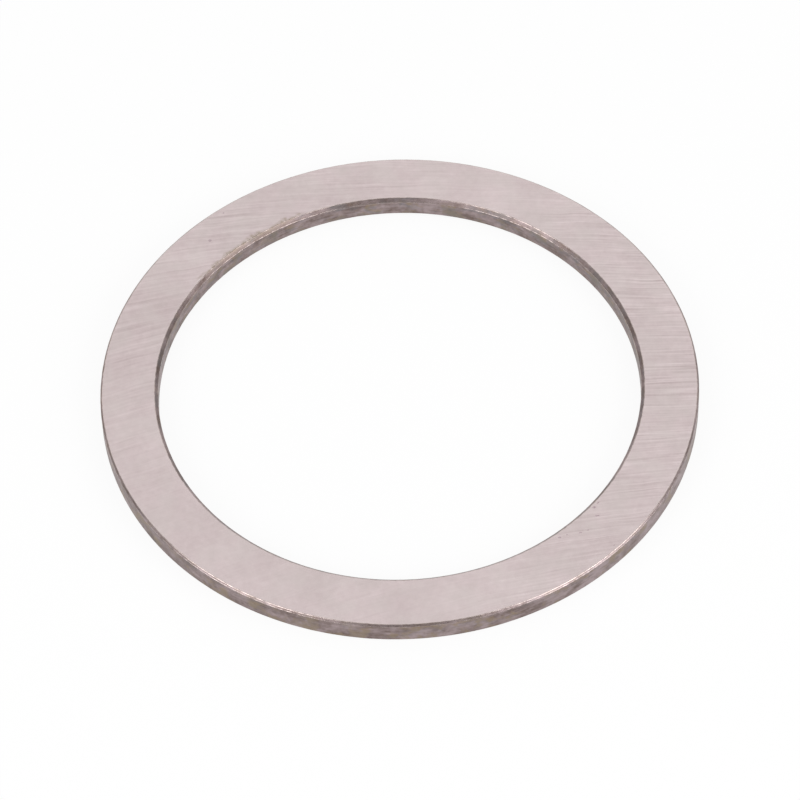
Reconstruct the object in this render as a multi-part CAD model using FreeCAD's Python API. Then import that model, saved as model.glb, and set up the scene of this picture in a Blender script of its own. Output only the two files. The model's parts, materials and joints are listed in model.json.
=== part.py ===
import FreeCAD, Part
import math
import os

# Flat ring washer of ground steel: one turned piece with a wide bore, lying on its lower face.
# The origin is the centre of the lower face and +Z runs along the bore. Lengths are in millimetres.

# Driving dimensions
bore_diameter = 60.3    # bare wall of the bore, for a 60 mm shaft
ring_width = 7.2        # along a radius, from the bore wall to the rim wall
thickness = 3.0         # between the two ground faces
bore_chamfer = 0.45     # along a radius, the bevel round both mouths of the bore
rim_chamfer = 0.25      # along a radius, the bevel round both edges of the rim
chamfer_angle = 45.0    # degrees, between a bevel and the ground face beside it
arris_radius = 0.05     # every edge of the section after deburring

# Sizes that follow
bore_radius = bore_diameter / 2
rim_radius = bore_radius + ring_width
bevel_slope = math.tan(math.radians(chamfer_angle))
bore_bevel_height = bore_chamfer * bevel_slope
rim_bevel_height = rim_chamfer * bevel_slope
full_turn = 360


def section_point(radius, height):
    """A point of the section, which stands in the XZ plane on the +X side of the axis."""
    return FreeCAD.Vector(radius, 0, height)


def section_corners():
    """The sharp corners of the section, anticlockwise from the inner end of the lower face."""
    return [
        section_point(bore_radius + bore_chamfer, 0),
        section_point(rim_radius - rim_chamfer, 0),
        section_point(rim_radius, rim_bevel_height),
        section_point(rim_radius, thickness - rim_bevel_height),
        section_point(rim_radius - rim_chamfer, thickness),
        section_point(bore_radius + bore_chamfer, thickness),
        section_point(bore_radius, thickness - bore_bevel_height),
        section_point(bore_radius, bore_bevel_height),
    ]


def corner_arc(before, corner, after, radius):
    """The arc that rounds one corner and runs tangent into the straight lines on both sides."""
    back = (before - corner).normalize()
    ahead = (after - corner).normalize()
    inward = (back + ahead).normalize()
    half_angle = back.getAngle(ahead) / 2
    to_tangent = radius / math.tan(half_angle)
    to_arc = radius / math.sin(half_angle) - radius
    return Part.Arc(corner + back * to_tangent, corner + inward * to_arc, corner + ahead * to_tangent)


def deburred_outline(corners, radius):
    """A closed wire through the corners, with each of them rounded."""
    following = corners[1:] + corners[:1]
    preceding = corners[-1:] + corners[:-1]
    arcs = [corner_arc(*points, radius) for points in zip(preceding, corners, following)]
    edges = []
    for arc, next_arc in zip(arcs, arcs[1:] + arcs[:1]):
        edges.append(arc.toShape())
        edges.append(Part.LineSegment(arc.EndPoint, next_arc.StartPoint).toShape())
    return Part.Wire(edges)


def make_washer_ring():
    """The section turned once round the axis of the bore."""
    section = Part.Face(deburred_outline(section_corners(), arris_radius))
    axis_foot = FreeCAD.Vector(0, 0, 0)
    axis_direction = FreeCAD.Vector(0, 0, 1)
    return section.revolve(axis_foot, axis_direction, full_turn)


def save(shape, node):
    """Write one piece to its own file after making sure that it is a sound solid."""
    if not shape.isValid() or shape.Volume <= 0:
        raise ValueError(node + " is not a sound solid")
    shape.exportStep("parts/" + node + ".step")
    print(node, "volume in cubic millimetres:", round(shape.Volume, 1))


os.makedirs("parts", exist_ok=True)
save(make_washer_ring(), "washer_ring")
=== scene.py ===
"""A ground steel ring washer, lying flat on a pale floor under soft light.

The ring is made the way the real one is: a section with bevelled and deburred corners, turned round the
axis of the bore. Its faces carry the marks of the grinding wheel, and its walls and bevels the stains of bare
steel, with painted light towards the front right. Its edges are painted bright: partly wear, partly a painted
highlight.
"""

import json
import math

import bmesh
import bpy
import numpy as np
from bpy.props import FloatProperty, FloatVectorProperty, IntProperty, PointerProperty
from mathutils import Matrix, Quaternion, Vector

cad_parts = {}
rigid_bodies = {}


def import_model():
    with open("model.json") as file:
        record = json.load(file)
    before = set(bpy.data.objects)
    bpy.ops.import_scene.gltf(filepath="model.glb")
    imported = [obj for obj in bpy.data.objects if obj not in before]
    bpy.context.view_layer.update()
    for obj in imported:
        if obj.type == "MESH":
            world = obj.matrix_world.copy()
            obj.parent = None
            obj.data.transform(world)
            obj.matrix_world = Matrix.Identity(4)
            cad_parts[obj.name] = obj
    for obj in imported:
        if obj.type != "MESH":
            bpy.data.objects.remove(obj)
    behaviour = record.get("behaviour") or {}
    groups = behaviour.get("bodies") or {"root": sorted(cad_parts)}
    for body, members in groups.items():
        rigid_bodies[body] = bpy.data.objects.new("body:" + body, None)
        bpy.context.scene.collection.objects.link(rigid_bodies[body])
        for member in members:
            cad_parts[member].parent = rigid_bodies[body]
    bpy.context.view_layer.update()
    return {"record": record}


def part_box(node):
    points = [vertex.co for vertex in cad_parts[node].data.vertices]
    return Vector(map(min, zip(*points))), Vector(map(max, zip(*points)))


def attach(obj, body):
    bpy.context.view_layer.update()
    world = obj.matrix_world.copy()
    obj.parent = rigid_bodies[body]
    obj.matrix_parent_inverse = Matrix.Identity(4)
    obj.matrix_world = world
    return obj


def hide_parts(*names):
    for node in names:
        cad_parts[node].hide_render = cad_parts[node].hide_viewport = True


bl_info = {
    "name": "Ring Washer",
    "version": (1, 0, 0),
    "blender": (4, 5, 0),
    "location": "3D View > Sidebar > Washer",
    "description": "Makes a ground steel ring washer and the pale studio that it lies in",
    "category": "Object",
}

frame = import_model()

MM = 0.001
NODE = "washer_ring"
ROUND_MOUNTS = {mount["name"]: mount["dims"] for mount in frame["record"]["mounts"] if mount["dims"]}
BORE_RADIUS = ROUND_MOUNTS["bore"]["r_mm"] * MM
RIM_RADIUS = ROUND_MOUNTS["rim"]["r_mm"] * MM
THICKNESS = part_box(NODE)[1].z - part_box(NODE)[0].z
GRAIN = "grain"
# The wear of each point, which also masks the painted edge highlight on the bevel material.
WEAR = "edge_wear"
FACE_SLOT, WALL_SLOT, BEVEL_SLOT, PIT_SLOT = range(4)

# Pits in the upper face: place round the ring in degrees, share of the way from bore to rim, length, width,
# and the way that each one lies, in degrees from +X
PITS = (
    (318.4, 0.12, 0.42 * MM, 0.34 * MM, 7),
    (320.0, 0.11, 0.50 * MM, 0.16 * MM, 50),
    (317.0, 0.27, 0.56 * MM, 0.22 * MM, 7),
    (134.0, 0.53, 0.42 * MM, 0.38 * MM, 8),
    (306.9, 0.15, 0.40 * MM, 0.22 * MM, 10),
    (311.2, 0.31, 0.42 * MM, 0.16 * MM, 9),
    (312.8, 0.36, 0.26 * MM, 0.15 * MM, 9),
    (308.6, 0.19, 0.24 * MM, 0.15 * MM, 10),
    (127.0, 0.86, 0.24 * MM, 0.16 * MM, 5),
    (313.7, 0.89, 0.20 * MM, 0.15 * MM, 9),
)


def display_colour(red, green, blue):
    """The linear colour of one that is given as it shows on a screen, from 0 to 255."""
    shares = [level / 255 for level in (red, green, blue)]
    return tuple(s / 12.92 if s <= 0.04045 else ((s + 0.055) / 1.055) ** 2.4 for s in shares)


def length(name, description, default):
    """A length that a user can change."""
    return FloatProperty(
        name=name, description=description, default=default, min=0, precision=5, unit="LENGTH"
    )


def colour(name, description, *levels):
    """A colour that a user can change, given as it shows on a screen."""
    return FloatVectorProperty(
        name=name, description=description, default=display_colour(*levels), min=0, max=1, subtype="COLOR"
    )


def share(name, description, default):
    """A share from 0 to 1 that a user can change."""
    return FloatProperty(name=name, description=description, default=default, min=0, max=1, subtype="FACTOR")


def turn(name, description, degrees):
    """An angle that a user can change, given in degrees."""
    return FloatProperty(name=name, description=description, default=math.radians(degrees), subtype="ANGLE")


class WasherSizes(bpy.types.PropertyGroup):
    """Sizes of the ring and of the marks on it."""

    bore_radius: length("Bore radius", "From the axis to the bare wall of the bore", BORE_RADIUS)
    rim_radius: length("Rim radius", "From the axis to the bare wall of the rim", RIM_RADIUS)
    thickness: length("Thickness", "Between the two ground faces", THICKNESS)
    bore_bevel: length("Bore bevel", "Width of the bevel round both mouths of the bore", 0.45 * MM)
    rim_bevel: length("Rim bevel", "Width of the bevel round both edges of the rim", 0.25 * MM)
    arris_radius: length("Arris radius", "Rounding of every edge after deburring", 0.05 * MM)
    edge_wear: length("Edge wear", "What handling has added to the radius of every edge", 0.05 * MM)
    arris_cuts: IntProperty(name="Arris cuts", description="Flats along each rounded edge", default=3, min=1)
    steps: IntProperty(name="Steps", description="Steps of the section round the axis", default=960, min=32)
    holding: length("Holding band", "From a rounded edge to the first loop on the flat beside it", 0.015 * MM)
    # The wear reach and the wear shares also set where and how strongly the edges are painted bright: partly
    # wear, partly painted highlight.
    wear_reach: length("Wear reach", "From a rounded edge to the end of the bright worn band", 0.08 * MM)
    rim_face_wear: share("Rim wear by face", "Wear of the rim's edges beside the faces", 0.95)
    rim_wall_wear: share("Rim wear by wall", "Wear of the rim's edges beside its wall", 0.68)
    bore_face_wear: share("Bore wear by face", "Wear of the bore's edges beside the faces", 0.86)
    bore_wall_wear: share("Bore wear by wall", "Wear of the bore's edges beside its wall", 0.68)
    edge_wobble: length("Edge wobble", "Span, out and in, by which the deburred edges stray", 0.03 * MM)
    wobble_pitch: length("Wobble pitch", "Distance between the strays along an edge", 0.9 * MM)
    pit_depth: length("Pit depth", "Depth of the pits in the upper face", 0.04 * MM)
    face_cuts: IntProperty(name="Face cuts", description="Loops across the upper face", default=7, min=0)


class WasherFinish(bpy.types.PropertyGroup):
    """Colours and grain of the steel."""

    face_light: colour("Face, light", "Crests between the grinding marks", 228, 214, 214)
    face_dark: colour("Face, dark", "Bottoms of the grinding marks", 187, 171, 171)
    face_grey: colour("Face, grey", "Clouds of more neutral steel on the faces", 204, 196, 192)
    film: colour("Film", "Light rust film beside the bore at the back left", 158, 144, 126)
    wall_light: colour("Wall, light", "Cleaner turned steel of walls and bevels", 167, 151, 152)
    wall_dark: colour("Wall, dark", "Tarnish on walls and bevels", 116, 100, 95)
    wall_ochre: colour("Wall, ochre", "Rust film on walls and bevels", 150, 131, 108)
    wall_blue: colour("Wall, blue", "Blue-grey scale, mostly in the bore", 113, 117, 123)
    # Painted highlight: partly burnished steel, partly the bright lines of the soft boxes painted into the
    # edges' colour.
    worn_edge_and_highlight: colour("Worn edge", "Steel burnished along the edges", 206, 191, 187)
    pit_dark: colour("Pit", "Stain in the pits", 192, 175, 179)
    mark_pitch: length("Mark pitch", "Distance between the grinding marks", 0.3 * MM)
    mark_run: length("Mark run", "Length over which a grinding mark keeps its depth", 8 * MM)
    mark_slope: turn("Mark slope", "Slope of the marks at the middle of the ring", 7)
    mark_bend: turn("Mark bend", "Turn of the marks from the middle to the right of the rim", -8.6)
    mark_fan: turn("Mark fan", "Turn of the marks from the middle to the back of the rim", -9.5)
    deep_right: turn("Deep right", "Heading of the right stretch with the deepest marks", 355)
    deep_left: turn("Deep left", "Heading of the left stretch with deep marks", 142)


class WasherStudio(bpy.types.PropertyGroup):
    """Camera, floor and light."""

    camera_elevation: turn("Camera elevation", "Height of the camera above the horizon", 51.33)
    camera_roll: turn("Camera roll", "Turn of the camera about its own line of sight", -2.06)
    camera_distance: length("Camera distance", "From the middle of the ring to the camera", 559.3 * MM)
    aim_forward: length("Aim forward", "How far in front of the ring's middle the camera aims", 1.61 * MM)
    lens: FloatProperty(name="Lens", description="Focal length in millimetres", default=201.3, min=1)
    room_fill: share("Room fill", "Light that the room sheds on dull surfaces", 0.68)
    curtain_level: share("Curtain", "Brightness of the curtain behind the camera, as steel mirrors it", 0.3)
    curtain_half_width: turn("Curtain half width", "Half the curtain's width, seen from the ring", 33)
    curtain_top: turn("Curtain top", "Height of the curtain's top edge, seen from the ring", 60)
    wing_level: share("Wings", "Brightness of the dim wings at both sides, as steel mirrors them", 0.5)
    box_level: FloatProperty(name="Box level", description="Brightness of the soft boxes", default=2.5, min=0)
    box_distance: length("Box distance", "From the ring to the soft boxes", 0.6)
    box_width: length("Box width", "Width of the left soft box", 0.42)
    wide_box_width: length("Wide box width", "Width of the right soft box", 0.54)
    box_height: length("Box height", "Height of each soft box", 0.3)
    floor_lift: share("Floor lift", "Share of plain white in the floor, as the camera sees it", 0.9)
    floor_colour: colour("Floor", "Pale matt floor", 254, 254, 254)


def clear_selection():
    """Deselect every object, and leave edit mode first."""
    if bpy.context.object and bpy.context.object.mode != "OBJECT":
        bpy.ops.object.mode_set(mode="OBJECT")
    bpy.ops.object.select_all(action="DESELECT")


def pick_points(piece, test):
    """In edit mode, select only the points whose place passes the test."""
    bpy.ops.mesh.select_mode(type="VERT")
    bpy.ops.mesh.select_all(action="DESELECT")
    cage = bmesh.from_edit_mesh(piece.data)
    for point in cage.verts:
        point.select = test(point.co)
    cage.select_flush(True)
    bmesh.update_edit_mesh(piece.data)


def pick_faces(piece, test):
    """In edit mode, select only the faces whose normal and middle pass the test."""
    bpy.ops.mesh.select_mode(type="FACE")
    bpy.ops.mesh.select_all(action="DESELECT")
    cage = bmesh.from_edit_mesh(piece.data)
    for face in cage.faces:
        face.select = test(face.normal, face.calc_center_median())
    bmesh.update_edit_mesh(piece.data)


def apply_modifier(kind, **settings):
    """Add a modifier to the active piece, set it up and apply it."""
    bpy.ops.object.modifier_add(type=kind)
    modifier = bpy.context.object.modifiers[-1]
    for name, value in settings.items():
        setattr(modifier, name, value)
    bpy.ops.object.modifier_apply(modifier=modifier.name)


def draw_section(sizes):
    """The section of the ring: a rectangle in the XZ plane with bevelled and then rounded corners."""
    width = sizes.rim_radius - sizes.bore_radius
    middle = (sizes.rim_radius + sizes.bore_radius) / 2
    bpy.ops.mesh.primitive_plane_add(size=1)
    section = bpy.context.object
    section.name = "finished_ring"
    section.data.name = "finished_ring"
    section.scale = (width, sizes.thickness, 1)
    section.rotation_euler = (math.radians(90), 0, 0)
    section.location = (middle, 0, sizes.thickness / 2)
    bpy.ops.object.transform_apply(location=True, rotation=True, scale=True)

    bpy.ops.object.mode_set(mode="EDIT")
    pick_points(section, lambda place: place.x < middle)
    bpy.ops.mesh.bevel(offset=sizes.bore_bevel, segments=1, affect="VERTICES")
    pick_points(section, lambda place: place.x > middle)
    bpy.ops.mesh.bevel(offset=sizes.rim_bevel, segments=1, affect="VERTICES")
    half_turn_of_corner = math.radians(45) / 2
    to_tangent = (sizes.arris_radius + sizes.edge_wear) * math.tan(half_turn_of_corner)
    bpy.ops.mesh.select_all(action="SELECT")
    bpy.ops.mesh.bevel(offset=to_tangent, segments=sizes.arris_cuts, profile=0.5, affect="VERTICES")
    bpy.ops.mesh.select_all(action="SELECT")
    bpy.ops.mesh.delete(type="ONLY_FACE")
    pick_points(section, lambda place: place.z > sizes.thickness - sizes.arris_radius / 1000)
    bpy.ops.mesh.subdivide(number_cuts=sizes.face_cuts)
    bpy.ops.object.mode_set(mode="OBJECT")
    return section


def turn_section(ring, sizes):
    """Turn the section once round the bore's axis into a closed ring."""
    apply_modifier(
        "SCREW", axis="Z", steps=sizes.steps, render_steps=sizes.steps, use_merge_vertices=True,
        merge_threshold=sizes.arris_radius / 1000,
    )
    bpy.ops.object.mode_set(mode="EDIT")
    bpy.ops.mesh.select_all(action="SELECT")
    bpy.ops.mesh.remove_doubles(threshold=sizes.arris_radius / 1000)
    bpy.ops.mesh.normals_make_consistent(inside=False)
    bpy.ops.object.mode_set(mode="OBJECT")


def flat_bands(sizes):
    """Tests that pick each of the ring's eight flat bands by normal and middle: faces, walls and bevels."""
    middle = sizes.thickness / 2
    level, slack, hair = 0.99, 0.01, MM / 1e5

    def outward(normal, place):
        return normal.x * place.x + normal.y * place.y > 0

    def sloping(normal):
        return abs(abs(normal.z) - math.sqrt(0.5)) < slack

    def upright(normal):
        return abs(normal.z) < slack

    return [
        lambda normal, place: normal.z > level and place.z > sizes.thickness - hair,
        lambda normal, place: normal.z < -level and place.z < hair,
        lambda normal, place: upright(normal) and outward(normal, place),
        lambda normal, place: upright(normal) and not outward(normal, place),
        lambda normal, place: sloping(normal) and outward(normal, place) and place.z > middle,
        lambda normal, place: sloping(normal) and outward(normal, place) and place.z < middle,
        lambda normal, place: sloping(normal) and not outward(normal, place) and place.z > middle,
        lambda normal, place: sloping(normal) and not outward(normal, place) and place.z < middle,
    ]


def add_holding_loops(ring, sizes):
    """Loops beside every rounded edge, so that the flats stay flat and the worn band has its own points."""
    bpy.ops.object.mode_set(mode="EDIT")
    for test in flat_bands(sizes):
        pick_faces(ring, test)
        bpy.ops.mesh.inset(thickness=sizes.holding, use_boundary=True)
        bpy.ops.mesh.inset(thickness=sizes.wear_reach - sizes.holding, use_boundary=True)
    bpy.ops.object.mode_set(mode="OBJECT")


def worn_lines(sizes):
    """Radius, height and share of wear of the section's eight corners, beside the faces and the walls."""
    inner = sizes.bore_radius + sizes.bore_bevel
    outer = sizes.rim_radius - sizes.rim_bevel
    lines = []
    for by_face, by_wall, bevel, face_wear, wall_wear in (
        (inner, sizes.bore_radius, sizes.bore_bevel, sizes.bore_face_wear, sizes.bore_wall_wear),
        (outer, sizes.rim_radius, sizes.rim_bevel, sizes.rim_face_wear, sizes.rim_wall_wear),
    ):
        for height in (0, sizes.thickness):
            lines.append((by_face, height, face_wear))
        for height in (bevel, sizes.thickness - bevel):
            lines.append((by_wall, height, wall_wear))
    return lines


def places_of(mesh):
    """The places of a mesh's points, one row each."""
    places = np.empty(len(mesh.vertices) * 3, np.float32)
    mesh.vertices.foreach_get("co", places)
    return places.reshape(-1, 3).astype(float)


def mark_wear(ring, sizes):
    """Store how worn each point is, which also masks the painted edge highlight: most along the rounded
    edges, and none past the reach of the wear.
    """
    places = places_of(ring.data)
    radius = np.hypot(places[:, 0], places[:, 1])
    core = (sizes.arris_radius + sizes.edge_wear) / 2
    wear = np.zeros(len(places))
    for line_radius, height, most in worn_lines(sizes):
        gap = np.hypot(radius - line_radius, places[:, 2] - height)
        wear = np.maximum(wear, most * (1 - np.clip((gap - core) / sizes.wear_reach, 0, 1)))
    attribute = ring.data.attributes.new(WEAR, "FLOAT", "POINT")
    attribute.data.foreach_set("value", wear.astype(np.float32))
    group = ring.vertex_groups.new(name=WEAR)
    for index in np.flatnonzero(wear > 0):
        group.add([int(index)], float(wear[index]), "REPLACE")


def wobble_edges(ring, sizes):
    """Let the edges stray a little, as deburring leaves them, and flatten what stands proud of the faces."""
    clouds = bpy.data.textures.new("edge_wobble", "CLOUDS")
    clouds.noise_scale = sizes.wobble_pitch
    clouds.noise_depth = 2
    apply_modifier(
        "DISPLACE", texture=clouds, texture_coords="LOCAL", vertex_group=WEAR,
        strength=sizes.edge_wobble, mid_level=0.5,
    )
    ring.vertex_groups.clear()
    bpy.data.textures.remove(clouds)
    bpy.ops.object.mode_set(mode="EDIT")
    pick_points(ring, lambda place: place.z > sizes.thickness)
    bpy.ops.transform.resize(value=(1, 1, 0), center_override=(0, 0, sizes.thickness))
    pick_points(ring, lambda place: place.z < 0)
    bpy.ops.transform.resize(value=(1, 1, 0), center_override=(0, 0, 0))
    bpy.ops.object.mode_set(mode="OBJECT")


def cut_pits(ring, sizes):
    """Cut shallow dishes out of the upper face, with balls that dip in by a quarter of their height."""
    clear_selection()
    mouth = math.sqrt(3) / 2  # width of such a ball where it meets the face, as a share of its full width
    first = None
    for heading, across, pit_length, pit_width, lie in PITS:
        radius = sizes.bore_radius + across * (sizes.rim_radius - sizes.bore_radius)
        place = Vector((radius, 0, sizes.thickness + sizes.pit_depth))
        place.rotate(Quaternion((0, 0, 1), math.radians(heading)))
        if first is None:
            bpy.ops.mesh.primitive_ico_sphere_add(subdivisions=3, radius=1)
            first = bpy.context.object
        else:
            bpy.ops.object.duplicate()
        ball = bpy.context.object
        ball.location = place
        ball.rotation_euler.z = math.radians(lie)
        ball.scale = (pit_length / 2 / mouth, pit_width / 2 / mouth, 2 * sizes.pit_depth)
    for item in bpy.context.scene.objects:
        item.select_set(item.name.startswith(first.name))
    bpy.context.view_layer.objects.active = first
    bpy.ops.object.join()
    bpy.ops.object.transform_apply(location=True, rotation=True, scale=True)
    for material in ring.data.materials:
        first.data.materials.append(material)
    for face in first.data.polygons:
        face.material_index = PIT_SLOT
    clear_selection()
    ring.select_set(True)
    bpy.context.view_layer.objects.active = ring
    apply_modifier("BOOLEAN", object=first, operation="DIFFERENCE", solver="EXACT", material_mode="INDEX")
    bpy.data.meshes.remove(first.data)
    bpy.ops.object.mode_set(mode="EDIT")
    bpy.ops.mesh.select_all(action="SELECT")
    bpy.ops.mesh.dissolve_degenerate(threshold=sizes.arris_radius / 100)
    bpy.ops.object.mode_set(mode="OBJECT")


def share_out_zones(ring):
    """Give each face the slot of its band: ground face, turned wall, or bevel and rounded edge."""
    slack = math.radians(2)
    level, upright = math.cos(slack), math.sin(slack)
    for face in ring.data.polygons:
        lean = abs(face.normal.z)
        face.material_index = FACE_SLOT if lean > level else WALL_SLOT if lean < upright else BEVEL_SLOT


def lay_grain(ring, sizes, finish):
    """A UV map whose U runs along the tool marks and whose V runs across them, in metres."""
    mesh = ring.data
    places = places_of(mesh)
    corners = np.empty(len(mesh.loops), np.int32)
    mesh.loops.foreach_get("vertex_index", corners)
    face_of_corner = np.repeat(np.arange(len(mesh.polygons)), [len(face.vertices) for face in mesh.polygons])
    middles = np.array([face.center[:] for face in mesh.polygons])
    most_tilt = math.radians(20)
    on_face = np.array([abs(face.normal.z) > math.cos(most_tilt) for face in mesh.polygons])
    x, y, z = places[corners].T
    slope, bend, fan = (math.tan(angle) for angle in (finish.mark_slope, finish.mark_bend, finish.mark_fan))
    radius = sizes.rim_radius
    across_marks = y * (1 - fan * x / radius) - slope * x - bend * x * x / (2 * radius)
    heading = np.arctan2(middles[:, 1], middles[:, 0])[face_of_corner]
    ahead = x * np.cos(heading) + y * np.sin(heading)
    aside = y * np.cos(heading) - x * np.sin(heading)
    round_ring = (heading + np.arctan2(aside, ahead)) * radius
    flat = on_face[face_of_corner]
    grain = np.where(flat[:, None], np.stack([x, across_marks], 1), np.stack([round_ring, z], 1))
    layer = mesh.uv_layers.new(name=GRAIN)
    layer.data.foreach_set("uv", grain.astype(np.float32).ravel())


def node(tree, kind, inputs=None, **settings):
    """Add a shader node, set it up, and give each named input a value or the output that feeds it."""
    made = tree.nodes.new("ShaderNode" + kind)
    for name, value in settings.items():
        setattr(made, name, value)
    for name, value in (inputs or {}).items():
        if isinstance(value, bpy.types.NodeSocket):
            tree.links.new(value, made.inputs[name])
        else:
            made.inputs[name].default_value = value
    return made


def sums(tree, operation, *values, clamp=False):
    """One step of arithmetic on numbers or outputs."""
    return node(tree, "Math", dict(enumerate(values)), operation=operation, use_clamp=clamp).outputs[0]


def spread(tree, value, low, high, to_low=0.0, to_high=1.0, smooth=False):
    """Bring a value's range from low and high to two other ends, and hold it there."""
    kind = "SMOOTHSTEP" if smooth else "LINEAR"
    ends = {"Value": value, "From Min": low, "From Max": high, "To Min": to_low, "To Max": to_high}
    return node(tree, "MapRange", ends, interpolation_type=kind, clamp=True).outputs[0]


def blend(tree, amount, first, second, how="MIX"):
    """Mix two colours."""
    mix = node(tree, "Mix", data_type="RGBA", blend_type=how, clamp_factor=True)
    for name, value in (("Factor_Float", amount), ("A_Color", first), ("B_Color", second)):
        socket = next(item for item in mix.inputs if item.identifier == name)
        if isinstance(value, bpy.types.NodeSocket):
            tree.links.new(value, socket)
        else:
            socket.default_value = value
    return next(item for item in mix.outputs if item.identifier == "Result_Color")


def even(pitch):
    """The same pitch along all three axes."""
    return (pitch, pitch, pitch)


def noise(tree, source, pitches, detail=2.0, roughness=0.5, twist=0.0):
    """Noise whose spots have the given length along each axis of the source."""
    scaled = node(tree, "Mapping", {"Vector": source, "Scale": [1 / pitch for pitch in pitches]})
    inputs = {"Vector": scaled.outputs[0], "Scale": 1.0, "Detail": detail, "Roughness": roughness}
    inputs["Distortion"] = twist
    return node(tree, "TexNoise", inputs, noise_dimensions="3D").outputs["Fac"]


def solid(colour_value):
    """A colour with its alpha, as a shader socket takes it."""
    return (*colour_value, 1)


def steel(name, ring):
    """A new metal material in the ring's next slot, with its node tree and shader."""
    material = bpy.data.materials.new(name)
    material.use_nodes = True
    tree = material.node_tree
    tree.nodes.clear()
    shader = node(tree, "BsdfPrincipled", {"Metallic": 1.0})
    output = node(tree, "OutputMaterial")
    tree.links.new(shader.outputs[0], output.inputs["Surface"])
    ring.data.materials.append(material)
    return tree, shader


def feed(tree, shader, **sources):
    """Link outputs to the shader's inputs, whose names have underscores for spaces here."""
    for name, source in sources.items():
        tree.links.new(source, shader.inputs[name.replace("_", " ")])


def radius_of(tree, place):
    """Distance from the axis of the bore."""
    flat = node(tree, "VectorMath", {0: place, 1: (1, 1, 0)}, operation="MULTIPLY").outputs["Vector"]
    return node(tree, "VectorMath", {0: flat}, operation="LENGTH").outputs["Value"]


def centred(tree, value, low, high, size=1.0):
    """Bring a noise's range to minus size and plus size."""
    return spread(tree, value, low, high, -size, size)


def add_up(tree, *values):
    """The sum of several outputs."""
    total = values[0]
    for value in values[1:]:
        total = sums(tree, "ADD", total, value)
    return total


def towards(tree, place, heading, sizes):
    """How far a place lies towards a heading, as a share of the rim's radius."""
    ahead = Vector((math.cos(heading), math.sin(heading), 0)) / sizes.rim_radius
    return node(tree, "VectorMath", {0: place, 1: ahead}, operation="DOT_PRODUCT").outputs["Value"]


def film_beside_bore(tree, place, sizes):
    """Where a rust film lies beside the bore at the back left, in soft patches."""
    from_bore = sums(tree, "SUBTRACT", radius_of(tree, place), sizes.bore_radius + sizes.bore_bevel)
    stray = centred(tree, noise(tree, place, even(1.3 * MM), detail=3.0), 0.3, 0.7, 0.28 * MM)
    close = spread(tree, sums(tree, "ADD", from_bore, stray), 0.14 * MM, 0.5 * MM, 1, 0)
    heading, whole_arc, full_arc = (math.radians(degrees) for degrees in (128, 12, 7))
    facing = towards(tree, place, heading, sizes)
    near = sizes.bore_radius / sizes.rim_radius
    in_arc = spread(tree, facing, near * math.cos(whole_arc), near * math.cos(full_arc), smooth=True)
    patches = spread(tree, noise(tree, place, even(0.5 * MM), detail=3.0), 0.34, 0.62, 0.3, 1.0)
    return sums(tree, "MULTIPLY", sums(tree, "MULTIPLY", close, in_arc), patches)


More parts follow.
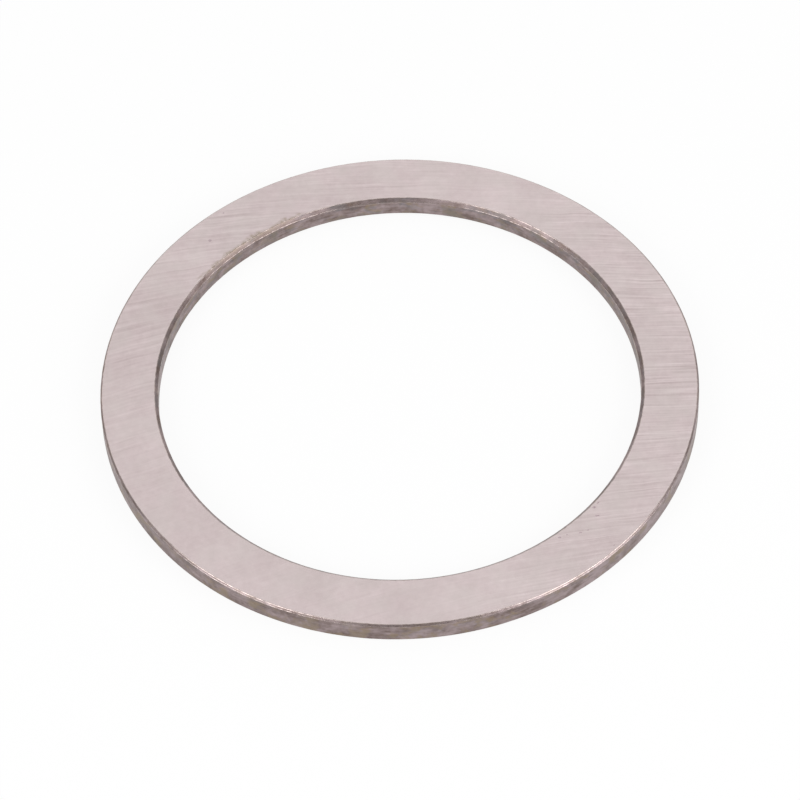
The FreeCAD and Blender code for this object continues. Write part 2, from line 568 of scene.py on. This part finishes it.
def finish_face(ring, sizes, finish):
    """The ground faces: fine marks from the wheel, deeper on two sides of the ring and faint between them."""
    tree, shader = steel("ground_face", ring)
    grain = node(tree, "UVMap", uv_map=GRAIN).outputs[0]
    place = node(tree, "TexCoord").outputs["Object"]
    worn = node(tree, "Attribute", attribute_name=WEAR).outputs["Fac"]

    right = spread(tree, towards(tree, place, finish.deep_right, sizes), 0.2, 0.85)
    left = spread(tree, towards(tree, place, finish.deep_left, sizes), 0.3, 0.92)
    back = towards(tree, place, math.radians(65), sizes)
    depth = add_up(tree, right, sums(tree, "MULTIPLY", left, 0.65), spread(tree, back, 0.2, 0.9, 0, 0.12))

    sway = centred(tree, noise(tree, place, even(5 * MM), detail=1.0), 0.3, 0.7, 0.12 * MM)
    swayed = node(tree, "CombineXYZ", {"X": 0.0, "Y": sway, "Z": 0.0}).outputs[0]
    grain = node(tree, "VectorMath", {0: grain, 1: swayed}, operation="ADD").outputs["Vector"]
    pitch, run = finish.mark_pitch, finish.mark_run
    fine = centred(tree, noise(tree, grain, (run, pitch, 1), detail=1.0), 0.32, 0.68)
    coarse = centred(tree, noise(tree, grain, (1.4 * run, 2.6 * pitch, 1), detail=2.0), 0.3, 0.7)
    bands = spread(tree, noise(tree, grain, (1.5 * run, 7 * pitch, 1), detail=1.0), 0.35, 0.65, 0.4, 1.4)
    scores = spread(tree, noise(tree, grain, (1.8 * run, 1.2 * pitch, 3), detail=1.0), 0.61, 0.70)
    rubs = spread(tree, noise(tree, grain, (1.6 * run, 1.1 * pitch, 5), detail=1.0), 0.61, 0.70)
    level = sums(tree, "MULTIPLY", sums(tree, "ADD", fine, sums(tree, "MULTIPLY", coarse, 0.6)), bands)
    marks = sums(tree, "MULTIPLY", level, spread(tree, depth, 0, 1, 0.14, 1.0))
    deep = sums(tree, "MULTIPLY", sums(tree, "SUBTRACT", rubs, scores), spread(tree, depth, 0, 1, 0.3, 1.0))
    marks = sums(tree, "ADD", marks, deep)

    clouds = centred(tree, noise(tree, place, even(6 * MM), detail=2.0), 0.3, 0.7, 0.65)
    spots = noise(tree, place, even(0.9 * MM), detail=3.0, roughness=0.7)
    mottle = centred(tree, spots, 0.3, 0.7, 0.55)
    tone = add_up(
        tree, marks, clouds, mottle, sums(tree, "MULTIPLY", right, -0.3), sums(tree, "MULTIPLY", left, -0.8),
        sums(tree, "MULTIPLY", back, 0.16),
    )
    lightness = spread(tree, tone, -3.0, 2.6)
    steel_colour = blend(tree, lightness, solid(finish.face_dark), solid(finish.face_light))
    grey = spread(tree, noise(tree, place, even(3.5 * MM), detail=3.0), 0.4, 0.65, 0, 0.3)
    steel_colour = blend(tree, grey, steel_colour, solid(finish.face_grey))
    film = sums(tree, "MULTIPLY", film_beside_bore(tree, place, sizes), 0.72)
    steel_colour = blend(tree, film, steel_colour, solid(finish.film))
    bump = node(tree, "Bump", {"Height": marks, "Strength": 0.25, "Distance": 0.01 * MM})
    tangent = node(tree, "Tangent", direction_type="UV_MAP", uv_map=GRAIN)
    feed(
        tree, shader, Base_Color=steel_colour, Normal=bump.outputs[0], Tangent=tangent.outputs[0],
        Roughness=spread(tree, worn, 0, 1, 0.34, 0.22),
    )
    shader.inputs["Anisotropic"].default_value = 0.5
    shader.inputs["Anisotropic Rotation"].default_value = 0.25


def dull_steel(tree, place, sizes, finish, most_film):
    """Colour and relief of unground steel: tarnish, rust film, scale mostly in the bore, and painted light on
    the front right.
    """
    patches = noise(tree, place, (2.4 * MM, 2.4 * MM, 1.6 * MM), detail=4.0, roughness=0.6)
    films = noise(tree, place, (2.2 * MM, 2.2 * MM, 1.8 * MM), detail=3.0, roughness=0.6, twist=0.3)
    scale_spots = noise(tree, place, (2.2 * MM, 2.2 * MM, 1.4 * MM), detail=3.0, twist=0.4)
    streaks = centred(tree, noise(tree, place, (4 * MM, 4 * MM, 0.16 * MM), detail=2.0), 0.25, 0.75, 0.8)
    specks = centred(tree, noise(tree, place, even(0.5 * MM), detail=2.0), 0.25, 0.75, 0.6)
    shade = sums(tree, "ADD", streaks, specks)
    # Painted light: the walls and bevels are painted lighter towards the front right, the side that faces the
    # right soft box.
    painted_lit_side = towards(tree, place, math.radians(315), sizes)
    tone = add_up(
        tree, spread(tree, patches, 0.34, 0.66), sums(tree, "MULTIPLY", shade, 0.4),
        spread(tree, painted_lit_side, 0.85, 1, 0, 0.25),
    )
    tint = blend(tree, spread(tree, tone, -0.1, 1.1), solid(finish.wall_dark), solid(finish.wall_light))
    tint = blend(tree, spread(tree, films, 0.50, 0.64, 0, most_film), tint, solid(finish.wall_ochre))
    middle = (sizes.bore_radius + sizes.rim_radius) / 2
    in_bore = spread(tree, radius_of(tree, place), middle, middle + 0.1 * MM, 1, 0.4)
    scale_share = sums(tree, "MULTIPLY", spread(tree, scale_spots, 0.46, 0.64, 0, 0.4), in_bore)
    tint = blend(tree, scale_share, tint, solid(finish.wall_blue))
    return tint, shade


def finish_wall(ring, sizes, finish):
    """The turned walls, mottled and faintly streaked round the ring."""
    tree, shader = steel("turned_wall", ring)
    place = node(tree, "TexCoord").outputs["Object"]
    tint, shade = dull_steel(tree, place, sizes, finish, 0.75)
    bump = node(tree, "Bump", {"Height": shade, "Strength": 0.3, "Distance": 0.01 * MM})
    feed(tree, shader, Base_Color=tint, Normal=bump.outputs[0])
    shader.inputs["Roughness"].default_value = 0.46


def finish_bevel(ring, sizes, finish):
    """The filed bevels, dull as the walls, and the edges beside them, painted bright in broken lines: partly
    worn steel, partly a painted highlight.
    """
    tree, shader = steel("filed_bevel", ring)
    place = node(tree, "TexCoord").outputs["Object"]
    worn = node(tree, "Attribute", attribute_name=WEAR).outputs["Fac"]
    tint, shade = dull_steel(tree, place, sizes, finish, 0.25)
    film = film_beside_bore(tree, place, sizes)
    breaks = noise(tree, place, (0.6 * MM, 0.6 * MM, 0.15 * MM), detail=2.0, roughness=0.6)
    inner = sizes.bore_radius + sizes.bore_bevel
    up_bevel = spread(tree, radius_of(tree, place), sizes.bore_radius, inner)
    upper_film = sums(tree, "MULTIPLY", film, spread(tree, up_bevel, 0, 1, 0.1, 1.0))
    tint = blend(tree, sums(tree, "MULTIPLY", upper_film, 0.6), tint, solid(finish.film))
    foot = sums(tree, "MULTIPLY", spread(tree, up_bevel, 0, 1, 1, 0), spread(tree, film, 0, 1, 0.3, 0.85))
    in_bore = spread(tree, radius_of(tree, place), inner, inner + 0.1 * MM, 1, 0)
    tint = blend(tree, sums(tree, "MULTIPLY", foot, in_bore), tint, solid(finish.wall_dark))
    stretches = spread(tree, noise(tree, place, even(5 * MM), detail=2.0), 0.38, 0.56, -0.12, 0.0)
    dulled = sums(tree, "MULTIPLY", upper_film, -0.55)
    # This mask paints the edges bright: partly worn steel, partly a painted highlight of the soft boxes.
    burnish_and_highlight = add_up(tree, worn, centred(tree, breaks, 0.3, 0.7, 0.3), stretches, dulled)
    bright = spread(tree, burnish_and_highlight, 0.35, 1.0)
    tint = blend(tree, bright, tint, solid(finish.worn_edge_and_highlight))
    bump = node(tree, "Bump", {"Height": breaks, "Strength": 0.4, "Distance": 0.02 * MM})
    roughness = spread(tree, bright, 0, 0.5, 0.45, 0.25)
    feed(tree, shader, Base_Color=tint, Normal=bump.outputs[0], Roughness=roughness)


def finish_pits(ring, finish):
    """The pits, a little duller than the face round them."""
    _tree, shader = steel("stained_pit", ring)
    shader.inputs["Base Color"].default_value = solid(finish.pit_dark)
    shader.inputs["Metallic"].default_value = 0.5
    shader.inputs["Roughness"].default_value = 0.8


class WASHER_OT_make_ring(bpy.types.Operator):
    """Make the washer ring with its ground, turned and bevelled surfaces."""

    bl_idname = "washer.make_ring"
    bl_label = "Make Ring"
    bl_options = {"REGISTER", "UNDO"}

    def execute(self, context):
        sizes = context.scene.washer_sizes
        finish = context.scene.washer_finish
        if sizes.rim_radius - sizes.bore_radius <= sizes.rim_bevel + sizes.bore_bevel:
            raise RuntimeError("the bevels leave no ground face")
        clear_selection()
        ring = draw_section(sizes)
        turn_section(ring, sizes)
        add_holding_loops(ring, sizes)
        share_out_zones(ring)
        mark_wear(ring, sizes)
        wobble_edges(ring, sizes)
        finish_face(ring, sizes, finish)
        finish_wall(ring, sizes, finish)
        finish_bevel(ring, sizes, finish)
        finish_pits(ring, finish)
        cut_pits(ring, sizes)
        bpy.ops.object.shade_smooth_by_angle(angle=math.radians(30))
        lay_grain(ring, sizes, finish)
        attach(ring, "root")
        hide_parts(NODE)
        return {"FINISHED"}


def light_path_sees(tree):
    """Outputs that are one for rays that show the background itself, and one for those that steel mirrors."""
    path = node(tree, "LightPath")
    seen = sums(tree, "MAXIMUM", path.outputs["Is Camera Ray"], path.outputs["Is Glossy Ray"])
    return sums(tree, "MAXIMUM", seen, path.outputs["Is Transmission Ray"]), path.outputs["Is Glossy Ray"]


def make_room(studio):
    """A white room whose light is soft and even, with a dim curtain behind the camera."""
    room = bpy.data.worlds.new("white_room")
    bpy.context.scene.world = room
    room.use_nodes = True
    tree = room.node_tree
    tree.nodes.clear()
    seen, glossy = light_path_sees(tree)
    heading = node(tree, "SeparateXYZ", {0: node(tree, "TexCoord").outputs["Generated"]})
    x, y, z = heading.outputs[:3]
    square = sums(tree, "ADD", sums(tree, "MULTIPLY", x, x), sums(tree, "MULTIPLY", y, y))
    level_reach = sums(tree, "MAXIMUM", sums(tree, "SQRT", square), 0.001)
    toward_camera = sums(tree, "DIVIDE", sums(tree, "MULTIPLY", y, -1.0), level_reach)
    soft_edge = math.radians(4)
    inner, outer = studio.curtain_half_width - soft_edge, studio.curtain_half_width + soft_edge
    in_width = spread(tree, toward_camera, math.cos(outer), math.cos(inner), smooth=True)
    wing_near, wing_full, wing_fading, wing_far = (math.cos(math.radians(a)) for a in (72, 80, 118, 130))
    wing_start = spread(tree, toward_camera, wing_full, wing_near, 1, 0)
    wing_end = spread(tree, toward_camera, wing_far, wing_fading)
    in_wings = sums(tree, "MULTIPLY", wing_start, wing_end)
    top = studio.curtain_top
    in_height = spread(tree, z, math.sin(top - 2 * soft_edge), math.sin(top), 1, 0, smooth=True)
    dark = sums(
        tree, "ADD", sums(tree, "MULTIPLY", in_width, 1 - studio.curtain_level),
        sums(tree, "MULTIPLY", in_wings, 1 - studio.wing_level),
    )
    dimming = sums(tree, "MULTIPLY", sums(tree, "MULTIPLY", dark, in_height), glossy)
    dimmed = sums(tree, "SUBTRACT", 1.0, dimming)
    strength = sums(
        tree, "ADD", sums(tree, "MULTIPLY", seen, dimmed),
        sums(tree, "MULTIPLY", sums(tree, "SUBTRACT", 1.0, seen), studio.room_fill),
    )
    background = node(tree, "Background", {"Color": (1, 1, 1, 1), "Strength": strength})
    output = node(tree, "OutputWorld")
    tree.links.new(background.outputs[0], output.inputs["Surface"])


def lay_floor(studio):
    """A wide pale floor just under the ring, which keeps the ring's shadow."""
    half_side, gap = 3.0, 0.02 * MM
    bpy.ops.mesh.primitive_plane_add(size=2 * half_side, location=(0, 0, -gap))
    floor = bpy.context.object
    floor.name = "floor"
    bpy.ops.object.transform_apply(location=True, rotation=True, scale=True)
    material = bpy.data.materials.new("pale_floor")
    material.use_nodes = True
    tree = material.node_tree
    tree.nodes.clear()
    seen, _glossy = light_path_sees(tree)
    matt = node(tree, "BsdfDiffuse", {"Color": solid(studio.floor_colour)})
    white = node(tree, "Emission", {"Color": (1, 1, 1, 1), "Strength": 1.0})
    lift = sums(tree, "MULTIPLY", seen, studio.floor_lift)
    mixed = node(tree, "MixShader", {0: lift, 1: matt.outputs[0], 2: white.outputs[0]})
    output = node(tree, "OutputMaterial")
    tree.links.new(mixed.outputs[0], output.inputs["Surface"])
    floor.data.materials.append(material)


def hang_soft_box(name, azimuth, elevation, width, studio):
    """A soft box that faces the ring. The azimuth is counted from the camera's side towards +X."""
    away = Vector((
        math.sin(azimuth) * math.cos(elevation), -math.cos(azimuth) * math.cos(elevation), math.sin(elevation)
    ))
    bpy.ops.object.light_add(type="AREA", location=away * studio.box_distance)
    box = bpy.context.object
    box.name = name
    box.rotation_euler = away.to_track_quat("Z", "Y").to_euler()
    box.data.shape = "RECTANGLE"
    box.data.size = width
    box.data.size_y = studio.box_height
    box.data.energy = studio.box_level * math.pi * width * studio.box_height
    box.visible_camera = False


def set_camera(studio, sizes):
    """The camera looks down at the ring from the front, a little rolled."""
    middle = Vector((0, 0, sizes.thickness / 2))
    back = Vector((0, -math.cos(studio.camera_elevation), math.sin(studio.camera_elevation)))
    place = middle + back * studio.camera_distance
    aim = middle - Vector((0, studio.aim_forward, 0))
    bpy.ops.object.camera_add(location=place)
    camera = bpy.context.object
    camera.name = "camera"
    camera.rotation_mode = "QUATERNION"
    level = (aim - place).to_track_quat("-Z", "Y")
    camera.rotation_quaternion = level @ Quaternion((0, 0, 1), studio.camera_roll)
    camera.data.lens = studio.lens
    camera.data.sensor_width = 36
    bpy.context.scene.camera = camera


class WASHER_OT_set_stage(bpy.types.Operator):
    """Lay the pale floor and set the room, the soft boxes and the camera."""

    bl_idname = "washer.set_stage"
    bl_label = "Set Stage"
    bl_options = {"REGISTER", "UNDO"}

    def execute(self, context):
        studio = context.scene.washer_studio
        clear_selection()
        make_room(studio)
        lay_floor(studio)
        hang_soft_box("left_box", math.radians(-51), math.radians(31), studio.box_width, studio)
        hang_soft_box("right_box", math.radians(58), math.radians(30), studio.wide_box_width, studio)
        set_camera(studio, context.scene.washer_sizes)
        context.scene.view_settings.view_transform = "Standard"
        return {"FINISHED"}


class WASHER_PT_sidebar(bpy.types.Panel):
    """Sizes, finishes and studio of the washer, and the buttons that make them."""

    bl_idname = "WASHER_PT_sidebar"
    bl_label = "Ring Washer"
    bl_space_type = "VIEW_3D"
    bl_region_type = "UI"
    bl_category = "Washer"

    def draw(self, context):
        for operator, owner in (
            (WASHER_OT_make_ring, "washer_sizes"),
            (WASHER_OT_make_ring, "washer_finish"),
            (WASHER_OT_set_stage, "washer_studio"),
        ):
            group = getattr(context.scene, owner)
            box = self.layout.box()
            for name in group.bl_rna.properties.keys():
                if name not in ("rna_type", "name"):
                    box.prop(group, name)
            box.operator(operator.bl_idname)


CLASSES = (
    WasherSizes, WasherFinish, WasherStudio, WASHER_OT_make_ring, WASHER_OT_set_stage, WASHER_PT_sidebar,
)


def register():
    """Make the classes and the scene's settings known."""
    for cls in CLASSES:
        bpy.utils.register_class(cls)
    bpy.types.Scene.washer_sizes = PointerProperty(type=WasherSizes)
    bpy.types.Scene.washer_finish = PointerProperty(type=WasherFinish)
    bpy.types.Scene.washer_studio = PointerProperty(type=WasherStudio)


def unregister():
    """Take the scene's settings and the classes away again."""
    del bpy.types.Scene.washer_studio
    del bpy.types.Scene.washer_finish
    del bpy.types.Scene.washer_sizes
    for cls in reversed(CLASSES):
        bpy.utils.unregister_class(cls)


def main():
    """Make the ring and its stage."""
    register()
    bpy.ops.washer.make_ring()
    bpy.ops.washer.set_stage()


if __name__ == "__main__":
    main()
